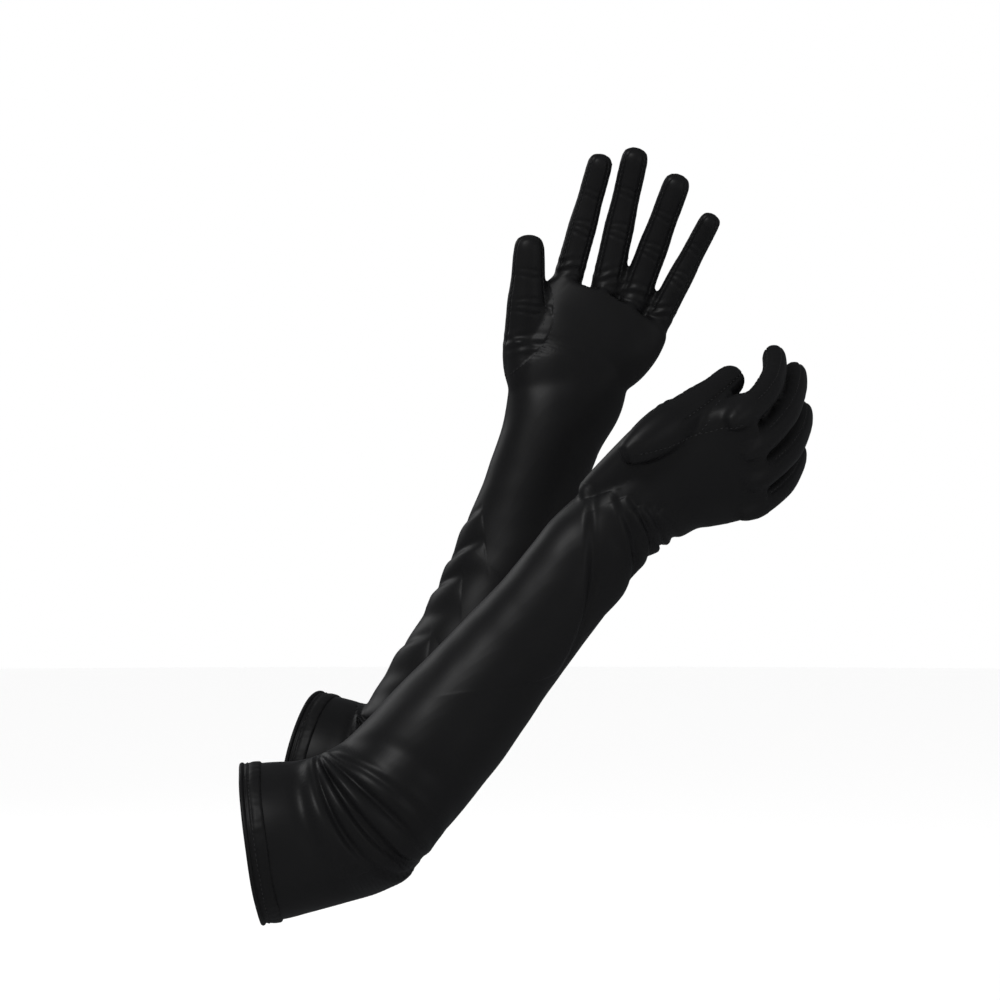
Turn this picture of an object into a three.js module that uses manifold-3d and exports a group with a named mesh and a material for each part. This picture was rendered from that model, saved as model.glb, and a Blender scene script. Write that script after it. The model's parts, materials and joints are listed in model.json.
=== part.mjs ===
// A pair of above-elbow opera gloves in black stretch satin, as worn: arms bent, right hand
// in front with its back to the viewer, left hand behind with its palm to the viewer.
// Millimetres, +Z up, the viewer looks along +Y. The origin is the centre of the right
// glove's arm opening, which is where the wearer's arm carries it.
import * as THREE from "three";
import { mergeVertices } from "three/addons/utils/BufferGeometryUtils.js";
import Module from "manifold-3d";

const wasm = await Module();
wasm.setup();

// Fabric
const fabricWall = 1;
const seamGap = 0.3;
const hemWall = 1.9;

// Sleeve
const cuffRadius = 46.5;
const hemDepth = 12;
const cuffLength = 66;
const elbowRadius = 42.5;
const elbowReach = 40;
const upperTaper = 1;
const forearmLength = 242;
const wristHalfWidth = 28;
const wristHalfDepth = 21;
const wristReach = 19;

// Forearm radii between the elbow and the wrist, each at its share of the forearm's length
const forearmShape = [
  { share: 0.32, radius: 36.5 },
  { share: 0.55, radius: 32 },
  { share: 0.78, radius: 29 },
];

// Hand, measured from the wrist, with its width across the palm
const palmHalfWidth = 41;
const knuckleHalfDepth = 11;
const knuckleCrown = 93;
const knuckleBow = 0.0055;
const webDepth = 10;

// Half width and half depth of the hand, each at its share of the way from wrist to knuckles
const palmShape = [
  { share: 0.3, halfWidth: 32.3, halfDepth: 18 },
  { share: 0.7, halfWidth: 39.5, halfDepth: 14 },
];

// The thumb's place along the hand and across it, and the hole and collar it is set into
const thumbBase = { along: 38, across: -37 };
const thumbRadius = 13;
const thumbCollar = 9;
const thumbHoleEase = 1;
const thumbHoleFlare = 6;

// Fingers and the strips between them
const stallFlatness = 0.86;
const rootCutFade = 0.45;
const knuckleSquareness = 1.4;
const fourchetteDepth = 11;
const fourchetteLeg = 9;
const fourchetteWall = 0.6;
const fourchetteEase = 0.7;

// Each digit: place across the palm, length from the web, radius at the web and at the tip
const digits = [
  { name: "index", across: -32.5, length: 76, root: 9.4, tip: 8.2 },
  { name: "middle", across: -10, length: 83, root: 9.2, tip: 8.2 },
  { name: "ring", across: 12, length: 79, root: 9, tip: 7.9 },
  { name: "little", across: 32.8, length: 69, root: 7.6, tip: 6 },
];
const thumb = { name: "thumb", length: 64, root: thumbRadius, tip: 8.8 };

// How each glove is worn. Rise is the slope in the viewer's plane, toward is the lean to the
// viewer, both in degrees. Roll turns the palm from facing away to facing up.
const rightGlove = {
  name: "right",
  side: 1,
  opening: [0, 0, 0],
  cuff: { rise: 8, toward: 0 },
  forearm: { rise: 51, toward: 0 },
  hand: { rise: 18, toward: 0, roll: 35 },
  thumb: { splay: 20, flex: 12, curl: 8 },
  splay: [4, 1, -3, -10],
  flex: [34, 38, 36, 32],
  curl: [52, 56, 52, 46],
};
const leftGlove = {
  name: "left",
  side: -1,
  opening: [24, 150, 35],
  cuff: { rise: -10, toward: 14 },
  forearm: { rise: 66, toward: 0 },
  hand: { rise: 70, toward: 0, roll: 180 },
  thumb: { splay: 20, flex: 10, curl: 6 },
  splay: [4, 7, 0, -8],
  flex: [6, 6, 8, 8],
  curl: [16, 18, 20, 18],
};

// Mesh fineness
const sleeveSides = 18;
const stallSides = 10;
const stallRings = 5;
const tipTurns = [35, 65];
const forearmRings = 8;
const bendRings = 6;
const palmRings = 6;
const bandRings = 2;

const satin = new THREE.MeshStandardMaterial({ color: 0x17171a, roughness: 0.42, metalness: 0 });
const hemSatin = new THREE.MeshStandardMaterial({ color: 0x111113, roughness: 0.5, metalness: 0 });
const sideSatin = new THREE.MeshStandardMaterial({ color: 0x0e0e10, roughness: 0.55, metalness: 0 });

const degrees = THREE.MathUtils.degToRad;

// The direction of a limb that rises in the viewer's plane and leans toward the viewer.
function direction({ rise, toward }) {
  const up = degrees(rise);
  const lean = degrees(toward);
  return new THREE.Vector3(
    Math.cos(lean) * Math.cos(up),
    -Math.sin(lean),
    Math.cos(lean) * Math.sin(up),
  );
}

// A limb's frame: X runs along the limb and Z lies as near as it can to the given facing.
function frameAlong(along, facing) {
  const z = facing.clone().addScaledVector(along, -facing.dot(along)).normalize();
  const y = new THREE.Vector3().crossVectors(z, along);
  return new THREE.Quaternion().setFromRotationMatrix(new THREE.Matrix4().makeBasis(along, y, z));
}

// The way the palm faces, turned about the hand by its roll.
function palmFacing(hand) {
  const along = direction(hand);
  const away = new THREE.Vector3(0, 1, 0);
  away.addScaledVector(along, -away.dot(along)).normalize();
  return away.applyAxisAngle(along, degrees(hand.roll));
}

// Turns about Y that bend a limb from its own line toward its palm side.
function flexed(angle) {
  return new THREE.Quaternion().setFromAxisAngle(new THREE.Vector3(0, -1, 0), degrees(angle));
}

// A closed solid from a lathed profile of [radius, x] points, with place(x, y, z) moving each
// point of the straight tube, which runs along X, to where the fabric lies.
function lathed(profile, sides, place) {
  const points = profile.map(([radius, x]) => new THREE.Vector2(radius, x));
  const lathe = new THREE.LatheGeometry(points, sides);
  lathe.deleteAttribute("normal");
  lathe.deleteAttribute("uv");
  const merged = mergeVertices(lathe, 1e-4);
  const at = merged.getAttribute("position");
  for (let i = 0; i < at.count; i++) {
    const moved = place(at.getY(i), at.getZ(i), at.getX(i));
    at.setXYZ(i, moved.x, moved.y, moved.z);
  }
  return merged;
}

// An open-ended fabric tube from rings of { x, radius }, closed on itself through its wall.
function sleeveProfile(rings, wall) {
  const outside = rings.map(({ x, radius }) => [radius, x]);
  const inside = rings.map(({ x, radius }) => [radius - wall, x]).reverse();
  return [...outside, ...inside, outside[0]];
}

// Half of a digit's profile, from its open root to its round tip.
function digitRings({ length, root, tip }, less) {
  const cap = tip - less;
  const straight = length - tip;
  const rings = [];
  for (let i = 0; i <= stallRings; i++) {
    const share = i / stallRings;
    rings.push([THREE.MathUtils.lerp(root, tip, share) - less, share * straight]);
  }
  for (const turn of tipTurns) {
    rings.push([cap * Math.cos(degrees(turn)), straight + cap * Math.sin(degrees(turn))]);
  }
  rings.push([0, straight + cap]);
  return rings;
}

function stallProfile(digit) {
  const outside = digitRings(digit, 0);
  const inside = digitRings(digit, fabricWall).reverse();
  return [...inside, ...outside];
}

// Bends a straight digit into an arc toward the palm and flattens it a little. Its open root is
// cut to a line across the hand, whatever the digit's own flex and splay, and fades to a square
// ring further up.
function curledPlace(curl, length, flex, splay, rootLine) {
  const radius = length / Math.max(degrees(curl), 1e-3);
  const start = seamGap / (Math.cos(flex) * Math.cos(splay));
  return (x, y, z) => {
    const turn = x / radius;
    const deep = z * stallFlatness;
    const bow = rootLine(y) / (Math.cos(flex) * Math.cos(splay));
    const cut = deep * Math.tan(flex) - (y * Math.tan(splay)) / Math.cos(flex) + bow;
    const fade = Math.max(0, 1 - x / (rootCutFade * length));
    return new THREE.Vector3(
      start + cut * fade + Math.sin(turn) * (radius - deep),
      y,
      radius - Math.cos(turn) * (radius - deep),
    );
  };
}

function namedMesh(name, geometry, material) {
  const mesh = new THREE.Mesh(geometry, material);
  mesh.name = name;
  return mesh;
}

function toSolid(geometry) {
  return new wasm.Manifold(
    new wasm.Mesh({
      numProp: 3,
      vertProperties: geometry.getAttribute("position").array,
      triVerts: new Uint32Array(geometry.index.array),
    }),
  );
}

function toGeometry(solid) {
  const mesh = solid.getMesh();
  return new THREE.BufferGeometry()
    .setAttribute("position", new THREE.BufferAttribute(mesh.vertProperties, 3))
    .setIndex(new THREE.BufferAttribute(mesh.triVerts, 1));
}

// A frame of the scene graph, set where it stands in the part and hung on its parent there.
function frame(name, position, quaternion, parent) {
  const group = new THREE.Group();
  group.name = name;
  group.position.copy(position);
  group.quaternion.copy(quaternion);
  parent.updateWorldMatrix(true, false);
  parent.attach(group);
  return group;
}

// Width along the forearm: full below the elbow, slim at the wrist.
const forearmTaper = new THREE.SplineCurve([
  new THREE.Vector2(elbowReach, elbowRadius),
  ...forearmShape.map(({ share, radius }) => new THREE.Vector2(share * forearmLength, radius)),
  new THREE.Vector2(forearmLength - wristReach, wristHalfWidth),
]);

function cuffHem(glove) {
  const length = hemDepth - seamGap;
  const rings = [0, 0.5, 1].map((share) => ({ x: share * length, radius: cuffRadius }));
  const place = (x, y, z) => new THREE.Vector3(x, y, z);
  const geometry = lathed(sleeveProfile(rings, hemWall), sleeveSides, place);
  return namedMesh(`${glove.name}_cuff_hem`, geometry, hemSatin);
}

// The length of sleeve above the elbow, from the hem to where the elbow's folds begin.
function upperSleeve(glove) {
  const end = cuffLength - elbowReach;
  const rings = [
    { x: hemDepth, radius: cuffRadius },
    { x: (hemDepth + end) / 2, radius: THREE.MathUtils.lerp(cuffRadius, elbowRadius, 1 / 3) },
    { x: end, radius: elbowRadius + upperTaper },
  ];
  const place = (x, y, z) => new THREE.Vector3(x, y, z);
  const geometry = lathed(sleeveProfile(rings, fabricWall), sleeveSides, place);
  return namedMesh(`${glove.name}_upper_sleeve`, geometry, satin);
}

function forearmSleeve(glove) {
  const rings = [];
  for (let i = 0; i <= forearmRings; i++) {
    const at = forearmTaper.getPoint(i / forearmRings);
    rings.push({ x: at.x, radius: at.y });
  }
  const flat = (x) => THREE.MathUtils.mapLinear(
    x, elbowReach, forearmLength, 1, wristHalfDepth / wristHalfWidth,
  );
  const place = (x, y, z) => new THREE.Vector3(x, y, z * flat(x));
  const geometry = lathed(sleeveProfile(rings, fabricWall), sleeveSides, place);
  return namedMesh(`${glove.name}_forearm_sleeve`, geometry, satin);
}

// The stretch of fabric that bends at a joint. It starts at the near limb's end, and turn is
// the far limb's frame seen from the near one. Reach is how far it goes each side of the joint.
function bendSection(name, turn, reach, near, far) {
  const span = 2 * (reach - seamGap);
  const rings = [];
  for (let i = 0; i <= bendRings; i++) {
    const share = i / bendRings;
    rings.push({ x: share * span, radius: THREE.MathUtils.lerp(near.radius, far.radius, share) });
  }
  const start = new THREE.Vector3(seamGap, 0, 0);
  const corner = new THREE.Vector3(reach, 0, 0);
  const end = new THREE.Vector3(reach - seamGap, 0, 0).applyQuaternion(turn).add(corner);
  const line = new THREE.QuadraticBezierCurve3(start, corner, end);
  const place = (x, y, z) => {
    const share = x / span;
    const flat = THREE.MathUtils.lerp(near.flat, far.flat, share);
    const lean = new THREE.Quaternion().slerp(turn, share);
    return new THREE.Vector3(0, y, z * flat).applyQuaternion(lean).add(line.getPoint(share));
  };
  return namedMesh(name, lathed(sleeveProfile(rings, fabricWall), sleeveSides, place), satin);
}

// Where the stalls begin, on an arc across the palm.
function knuckleLine(across) {
  return knuckleCrown - knuckleBow * (across - digits[1].across) ** 2;
}

// Half width and half depth of the hand at a share of its way from wrist to knuckles.
const handWidth = new THREE.SplineCurve([
  new THREE.Vector2(0, wristHalfWidth),
  ...palmShape.map(({ share, halfWidth }) => new THREE.Vector2(share, halfWidth)),
  new THREE.Vector2(1, palmHalfWidth),
]);
const handDepth = new THREE.SplineCurve([
  new THREE.Vector2(0, wristHalfDepth),
  ...palmShape.map(({ share, halfDepth }) => new THREE.Vector2(share, halfDepth)),
  new THREE.Vector2(1, knuckleHalfDepth),
]);

// A band of the hand between two lines across it, each given as a function of the width. Its
// section is round at square 0 and grows squarer shoulders from the first share to the last.
function handBand(steps, nearLine, farLine, width, depth, square) {
  const rings = [];
  for (let i = 0; i <= steps; i++) {
    rings.push({ x: i / steps, radius: width(i / steps) });
  }
  const place = (x, y, z) => {
    const radius = Math.hypot(y, z);
    const less = radius < width(x) - fabricWall / 2 ? fabricWall : 0;
    const power = 2 + knuckleSquareness * THREE.MathUtils.lerp(...square, x);
    const fuller = radius / (Math.abs(y) ** power + Math.abs(z) ** power) ** (1 / power);
    const across = y * fuller;
    const deep = (z * fuller * (depth(x) - less)) / (width(x) - less);
    const along = THREE.MathUtils.lerp(nearLine(across), farLine(across), x);
    return new THREE.Vector3(along, across, deep);
  };
  return lathed(sleeveProfile(rings, fabricWall), sleeveSides, place);
}

// Where the thumb's piece leaves the palm, in the hand's frame.
function thumbFrame(glove) {
  const { splay, flex } = glove.thumb;
  const { along, across } = thumbBase;
  const turn = new THREE.Quaternion().setFromAxisAngle(
    new THREE.Vector3(0, 0, -glove.side), degrees(splay),
  );
  return {
    position: new THREE.Vector3(along, glove.side * across, 0),
    quaternion: turn.multiply(flexed(flex)),
  };
}

// The palm and back of the hand, with the hole that the thumb is set into.
function handShell(glove) {
  const geometry = handBand(
    palmRings,
    () => wristReach,
    (y) => knuckleLine(glove.side * y) - webDepth,
    (share) => handWidth.getPoint(share).y,
    (share) => handDepth.getPoint(share).y,
    [0, 1],
  );
  const hole = thumbEnvelope(glove);
  return namedMesh(`${glove.name}_hand`, toGeometry(toSolid(geometry).subtract(hole)), satin);
}

// The room that the thumb takes at its root, as a solid in the hand's frame.
function thumbEnvelope(glove) {
  const { position, quaternion } = thumbFrame(glove);
  const radius = thumbRadius + thumbHoleEase;
  const profile = [
    [0, -thumbCollar],
    [radius, -thumbCollar],
    [radius, 0],
    [radius + thumbHoleFlare, thumb.length],
    [0, thumb.length],
  ];
  const place = (x, y, z) => new THREE.Vector3(x, y, z).applyQuaternion(quaternion).add(position);
  return toSolid(lathed(profile, stallSides, place));
}

// The band of fabric at the roots of the fingers, which folds when any of them bends.
function knuckleBand(glove) {
  const bend = degrees(Math.max(...glove.flex));
  const rootDepth = (digits[0].root * stallFlatness) / Math.cos(bend);
  const geometry = handBand(
    bandRings,
    (y) => knuckleLine(glove.side * y) - webDepth + seamGap,
    (y) => knuckleLine(glove.side * y) - seamGap,
    () => palmHalfWidth,
    (share) => THREE.MathUtils.lerp(knuckleHalfDepth, rootDepth, share),
    [1, 1],
  );
  return namedMesh(`${glove.name}_knuckle_band`, geometry, satin);
}

// A closed digit stall with its open root at its joint.
function stall(glove, digit, curl, flex, splay, rootLine) {
  const place = curledPlace(
    curl, digit.length, degrees(flex), glove.side * degrees(splay), rootLine,
  );
  const geometry = lathed(stallProfile(digit), stallSides, place);
  return namedMesh(`${glove.name}_${digit.name}`, geometry, satin);
}

// The collar that joins the thumb to the palm, outside the hand's edge.
function thumbCollarMesh(glove) {
  const rings = [
    { x: seamGap - thumbCollar, radius: thumbRadius + thumbHoleEase - seamGap },
    { x: -seamGap, radius: thumbRadius },
  ];
  const place = (x, y, z) => new THREE.Vector3(x, y, z * stallFlatness);
  const geometry = lathed(sleeveProfile(rings, fabricWall), stallSides, place);
  return namedMesh(`${glove.name}_thumb_collar`, geometry, satin);
}

// The forked strip between two neighbouring fingers: its point sits in the crotch and a leg
// lies against the side of each finger.
function fourchette(glove, first, second) {
  const a = digits[first];
  const b = digits[second];
  const from = a.across + a.root;
  const to = b.across - b.root;
  const half = (to - from) / 2 - fourchetteEase;
  const middle = (from + to) / 2;
  const outline = new THREE.Shape();
  outline.moveTo(0, -half);
  outline.lineTo(fourchetteLeg, -half);
  outline.lineTo(fourchetteLeg, fourchetteWall - half);
  outline.lineTo(fourchetteWall, fourchetteWall - half);
  outline.lineTo(fourchetteWall, half - fourchetteWall);
  outline.lineTo(fourchetteLeg, half - fourchetteWall);
  outline.lineTo(fourchetteLeg, half);
  outline.lineTo(0, half);
  const geometry = new THREE.ExtrudeGeometry(outline, { depth: fourchetteDepth, bevelEnabled: false });
  const mesh = namedMesh(`${glove.name}_fourchette_${a.name}_${b.name}`, geometry, sideSatin);
  const reach = Math.min(knuckleLine(a.across), knuckleLine(b.across));
  mesh.position.set(reach + seamGap, glove.side * middle, -fourchetteDepth / 2);
  return mesh;
}

function buildGlove(glove, parent) {
  const handAlong = direction(glove.hand);
  const palm = palmFacing(glove.hand);
  const handTurn = frameAlong(handAlong, palm);
  const forearmAlong = direction(glove.forearm);
  const forearmTurn = frameAlong(forearmAlong, palm);
  const cuffAlong = direction(glove.cuff);
  const cuffTurn = new THREE.Quaternion()
    .setFromUnitVectors(forearmAlong, cuffAlong)
    .multiply(forearmTurn);

  const opening = new THREE.Vector3(...glove.opening);
  const elbow = opening.clone().addScaledVector(cuffAlong, cuffLength);
  const wrist = elbow.clone().addScaledVector(forearmAlong, forearmLength);

  const sleeve = frame(`${glove.name}_cuff_frame`, opening, cuffTurn, parent);
  sleeve.add(cuffHem(glove), upperSleeve(glove));
  const elbowBend = bendSection(
    `${glove.name}_elbow_section`,
    cuffTurn.clone().invert().multiply(forearmTurn),
    elbowReach,
    { radius: elbowRadius + upperTaper, flat: 1 },
    { radius: elbowRadius, flat: 1 },
  );
  elbowBend.position.x = cuffLength - elbowReach;
  sleeve.add(elbowBend);

  const forearm = frame(`${glove.name}_forearm_frame`, elbow, forearmTurn, sleeve);
  forearm.add(forearmSleeve(glove));
  const wristFlat = wristHalfDepth / wristHalfWidth;
  const wristBend = bendSection(
    `${glove.name}_wrist_section`,
    forearmTurn.clone().invert().multiply(handTurn),
    wristReach,
    { radius: wristHalfWidth, flat: wristFlat },
    { radius: wristHalfWidth, flat: wristFlat },
  );
  wristBend.position.x = forearmLength - wristReach;
  forearm.add(wristBend);

  const hand = frame(`${glove.name}_hand_frame`, wrist, handTurn, forearm);
  hand.add(handShell(glove), knuckleBand(glove));
  for (const first of [0, 1, 2]) {
    hand.add(fourchette(glove, first, first + 1));
  }
  const thumbRoot = new THREE.Group();
  thumbRoot.name = `${glove.name}_thumb_frame`;
  const { position, quaternion } = thumbFrame(glove);
  thumbRoot.position.copy(position);
  thumbRoot.quaternion.copy(quaternion);
  thumbRoot.add(thumbCollarMesh(glove), stall(glove, thumb, glove.thumb.curl, 0, 0, () => 0));
  hand.add(thumbRoot);
  digits.forEach((digit, i) => {
    const root = new THREE.Group();
    root.name = `${glove.name}_${digit.name}_frame`;
    root.position.set(knuckleLine(digit.across), glove.side * digit.across, 0);
    root.quaternion
      .setFromAxisAngle(new THREE.Vector3(0, 0, -glove.side), degrees(glove.splay[i]))
      .multiply(flexed(glove.flex[i]));
    const home = digit.across;
    const rootLine = (y) => knuckleLine(home + glove.side * y) - knuckleLine(home);
    root.add(stall(glove, digit, glove.curl[i], glove.flex[i], glove.splay[i], rootLine));
    hand.add(root);
  });
}

const gloves = new THREE.Group();
gloves.name = "opera_gloves";
buildGlove(rightGlove, gloves);
buildGlove(leftGlove, gloves);

export default gloves;
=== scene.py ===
"""A pair of black satin opera gloves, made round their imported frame."""

import json
import math

import bmesh
import bpy
import numpy as np
from bpy.props import FloatProperty, FloatVectorProperty, IntProperty, PointerProperty
from mathutils import Matrix, Quaternion, Vector, noise
from mathutils.bvhtree import BVHTree


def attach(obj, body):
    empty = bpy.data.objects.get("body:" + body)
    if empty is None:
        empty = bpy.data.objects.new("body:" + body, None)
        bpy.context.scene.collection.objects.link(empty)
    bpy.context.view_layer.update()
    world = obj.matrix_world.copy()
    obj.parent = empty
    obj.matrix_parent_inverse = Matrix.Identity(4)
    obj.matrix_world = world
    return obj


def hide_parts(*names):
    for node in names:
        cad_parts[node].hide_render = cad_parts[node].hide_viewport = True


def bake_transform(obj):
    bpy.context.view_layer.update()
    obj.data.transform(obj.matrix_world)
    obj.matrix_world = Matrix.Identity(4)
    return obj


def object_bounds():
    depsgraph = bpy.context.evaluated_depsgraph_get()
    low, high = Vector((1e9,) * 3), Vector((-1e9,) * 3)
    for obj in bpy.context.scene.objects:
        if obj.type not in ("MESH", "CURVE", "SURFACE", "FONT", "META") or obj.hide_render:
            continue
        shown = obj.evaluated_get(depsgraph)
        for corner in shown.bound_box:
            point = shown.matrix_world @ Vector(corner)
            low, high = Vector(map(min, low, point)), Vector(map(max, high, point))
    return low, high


bl_info = {
    "name": "Opera Gloves",
    "version": (1, 0, 0),
    "blender": (4, 5, 0),
    "location": "3D View > Sidebar > Gloves",
    "description": "Makes a pair of black satin opera gloves round their packed frame",
    "category": "Add Mesh",
}

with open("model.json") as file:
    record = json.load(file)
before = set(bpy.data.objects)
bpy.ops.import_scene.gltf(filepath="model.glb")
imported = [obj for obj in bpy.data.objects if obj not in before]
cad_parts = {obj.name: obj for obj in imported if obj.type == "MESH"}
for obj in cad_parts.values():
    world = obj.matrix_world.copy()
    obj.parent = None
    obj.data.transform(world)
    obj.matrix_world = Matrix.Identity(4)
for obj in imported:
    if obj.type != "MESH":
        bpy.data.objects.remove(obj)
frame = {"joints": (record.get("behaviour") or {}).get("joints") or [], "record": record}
cad_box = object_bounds()
joints = {joint["name"]: joint for joint in frame["joints"]}
mounts = {mount["name"]: mount for mount in frame["record"]["mounts"]}

MM = 0.001

# The sleeve and the hand at stations along them: distance from the arm opening, half width and
# half depth, all in millimetres. The elbow is 66 from the opening and the wrist 308.
SECTIONS = [
    (-8, 46.5, 46.5),
    (12, 46.3, 46.3),
    (28, 44.4, 44.4),
    (66, 42.6, 42.6),
    (84, 40, 42),
    (106, 38.8, 41),
    (143, 37.4, 37.2),
    (199, 33.4, 31),
    (255, 30.6, 27.5),
    (289, 30.2, 26),
    (308, 30.4, 25),
    (327, 31, 22.6),
    (346, 34, 19.4),
    (372, 39.8, 15.2),
    (391, 41, 12.2),
    (402, 41, 10.6),
]
SQUARER_FROM, SQUARER_TO = 327, 391
ELBOW_REACH, WRIST_REACH = 40, 22
KNUCKLE_CROWN, KNUCKLE_BOW, KNUCKLE_MIDDLE = 93, 0.0055, -10

# Each digit: length, radius at its root and near its tip
DIGITS = {
    "index": (80, 9.4, 7.9),
    "middle": (89, 9.8, 8.4),
    "ring": (85, 9.8, 8.5),
    "little": (77, 8.7, 6.8),
}
THUMB_RADII = (14.6, 9.0)
FLATNESS = 0.9
CAP_LENGTH = 1.1
THUMB_SUNK, FINGER_SUNK = 34, 16
THUMB_MOUNT_START, THUMB_MOUNT_RADIUS = (-22, 14, 1), (8, 14.5)

# The bump of the elbow: its height, and its reach along the sleeve and round it
ELBOW_POINT = (4.2, 13, 22)

# How far each side of a joint the two points set round it lie, along the limb or digit
SLEEVE_TURN, WRIST_TURN, FINGER_TURN = (30, 30), (20, 18), (6, 20)
# Two places (along, across) of the hand, by the line of the thumb's seam
THUMB_TURN = ((7.7, 49.9), (10.1, 65.2))

HEM_RADIUS = 46.3
FLOOR_DROP, FLOOR_RADIUS = 0.12, 6
# Each light's place, what it is aimed at, its size and its power in watts
LIGHTS = {
    "key": ((-0.75, -1.3, 1.5), (0.18, 0.05, 0.2), 0.6, 9),
    "fill": ((1.5, -1.4, 0.3), (0.2, 0.05, 0.2), 0.9, 1),
    "rim": ((-1.0, 1.3, 1.0), (0.15, 0.08, 0.2), 0.8, 2.4),
}
CAMERA_AT, CAMERA_LENS = (0.14508, -2.2, 0.20124), 135.4

# How each hand holds its digits, in degrees for index to little: how far each is splayed toward
# the thumb, bent at its knuckle and curled beyond it. "drawn" is how far the satin is drawn out
# along the fingers, "set_on" how far their roots stand toward the tips and "set_over" toward the
# little finger. "thumb" is its splay, flex, curl, length and how far it is set out. "fuller" is
# where the wrist is wider and by how much. "drift" is how far the middle of the sleeve stands
# from the line of the joints toward its lower edge, as (distance from the opening, drift).
# Lengths are in millimetres.
WORN = {
    "right": {
        "side": 1,
        "splay": (-10, -4, -9, -12),
        "flex": (38, 36, 34, 32),
        "curl": (50, 48, 48, 46),
        "drawn": 0.86,
        "set_on": -7,
        "set_over": (-5, -5, -5, -5),
        "thumb": (-2, 27, 14, 61, 7),
        "fuller": (296, -3),
        "drift": (
            (0, 0), (90, -1), (150, 1), (250, 1.5), (298, 2), (318, 0), (345, -5), (380, -7),
        ),
    },
    "left": {
        "side": -1,
        "splay": (4.4, 7.6, 0, -7.5),
        "flex": (6, 6, 8, 8),
        "curl": (16, 18, 20, 18),
        "drawn": 1,
        "set_on": 0,
        "set_over": (2, 3.4, 0.6, -2),
        "thumb": (18, 10, 6, 73, 3),
        "fuller": (327, 5.5),
        "drift": (
            (0, 0), (60, -1), (100, -4), (130, -1), (165, 2.5), (205, 1), (250, -2), (290, -5.5),
            (308, -6.5), (329, -7), (354, -11.5), (372, -4), (390, -1),
        ),
    },
}

# Folds in the sleeve and hand. Each runs between two places, given as the distance from the arm
# opening in millimetres and the angle round the limb in degrees, where 0 faces the front and 90
# is the lower edge. Then come its width and height in millimetres, how much steeper its far side
# is, and how far its middle bows along the limb.
FOLDS = {
    "right": [
        (58, -84, 78, 96, 4.5, 2.6, 0.5, -15),
        (62, -84, 80, 100, 4.0, 2.4, 0.5, -6),
        (66, -84, 82, 104, 4.5, 2.6, -0.4, 3),
        (71, -84, 86, 96, 5.0, 2.6, -0.5, 12),
        (76, -80, 92, 84, 6.0, 1.8, -0.4, 20),
        (50, -80, 60, 40, 6.0, 1.4, 0.3, -8),
        (300, -70, 206, 62, 8.0, 2.8, 0.8, 10),
        (306, -40, 262, 92, 6.5, 3.0, 0.6, 6),
        (310, -20, 288, 96, 5.0, 3.2, 0.5, 4),
        (314, 0, 303, 98, 4.6, 3.2, 0.3, 2),
        (318, 10, 316, 98, 4.4, 2.8, -0.2, 0),
        (324, 20, 329, 96, 5.0, 2.2, -0.4, -2),
    ],
    "left": [
        (54, -96, 78, 84, 4.5, 2.4, 0.5, -10),
        (62, -96, 82, 84, 4.0, 2.4, 0.4, 0),
        (70, -96, 88, 84, 4.5, 2.4, -0.4, 8),
        (80, -96, 98, 70, 6.0, 1.8, -0.4, 14),
        (176, -100, 196, -40, 6.5, 1.8, 0.4, 0),
        (196, -100, 222, -30, 6.0, 1.8, 0.4, 0),
        (220, -100, 240, -50, 6.0, 1.6, 0.4, 0),
        (128, -100, 150, -40, 7.0, 1.6, 0.3, 0),
        (268, 88, 150, -20, 12.0, 1.5, 0.6, -10),
        (300, 84, 206, 8, 9.0, 1.2, 0.5, -6),
        (390, -40, 372, 44, 6.0, 1.0, 0.3, 6),
        (334, -60, 352, 10, 6.0, 1.0, 0.4, 4),
    ],
}


class GloveSizes(bpy.types.PropertyGroup):
    """Sizes of the cloth, its folds and its sewing."""

    cloth: FloatProperty(
        name="Cloth", description="Thickness of the satin", default=0.6 * MM, unit="LENGTH"
    )
    grain: FloatProperty(
        name="Mesh grain", description="Size of the skin's cells", default=1.5 * MM, unit="LENGTH"
    )
    fold_depth: FloatProperty(
        name="Fold depth", description="How deep the folds are, as a factor", default=1.0
    )
    hem_depth: FloatProperty(
        name="Hem depth", description="Depth of the turned hem", default=12 * MM, unit="LENGTH"
    )
    hem_roll: FloatProperty(
        name="Hem roll", description="Radius of the hem's edge", default=1.3 * MM, unit="LENGTH"
    )
    topstitch: FloatProperty(
        name="Topstitch", description="From the hem's edge", default=5 * MM, unit="LENGTH"
    )
    stitch: FloatProperty(
        name="Stitch", description="Length of a stitch", default=2.2 * MM, unit="LENGTH"
    )
    pitch: FloatProperty(
        name="Pitch", description="From stitch to stitch", default=3.1 * MM, unit="LENGTH"
    )
    thread: FloatProperty(
        name="Thread", description="Thickness of the thread", default=0.45 * MM, unit="LENGTH"
    )
    seam_depth: FloatProperty(
        name="Seam depth", description="How deep a seam draws in", default=0.6 * MM, unit="LENGTH"
    )
    hem_sides: IntProperty(
        name="Hem sides", description="Steps round the hem", default=180, min=24
    )


class GloveFinish(bpy.types.PropertyGroup):
    """Colours and gloss of the satin and thread."""

    satin: FloatVectorProperty(
        name="Satin", description="Colour of the satin", subtype="COLOR", size=3,
        default=(0.0040, 0.0040, 0.0046),
    )
    lit: FloatVectorProperty(
        name="Lit satin", description="Colour where the nap turns", subtype="COLOR", size=3,
        default=(0.0072, 0.0071, 0.0076),
    )
    # Painted shade: the fourchette panels between the fingers are mixed toward this darker colour,
    # standing in for the shade that falls between the fingers.
    side: FloatVectorProperty(
        name="Side satin", description="Colour of the fourchettes", subtype="COLOR", size=3,
        default=(0.0048, 0.0048, 0.0055),
    )
    thread: FloatVectorProperty(
        name="Thread", description="Colour of the sewing thread", subtype="COLOR", size=3,
        default=(0.016, 0.016, 0.017),
    )
    gloss: FloatProperty(
        name="Roughness", description="Roughness of the satin", default=0.4, min=0, max=1
    )


def sizes():
    return bpy.context.scene.glove_sizes


def finish():
    return bpy.context.scene.glove_finish


# Shape of one worn glove


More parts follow.
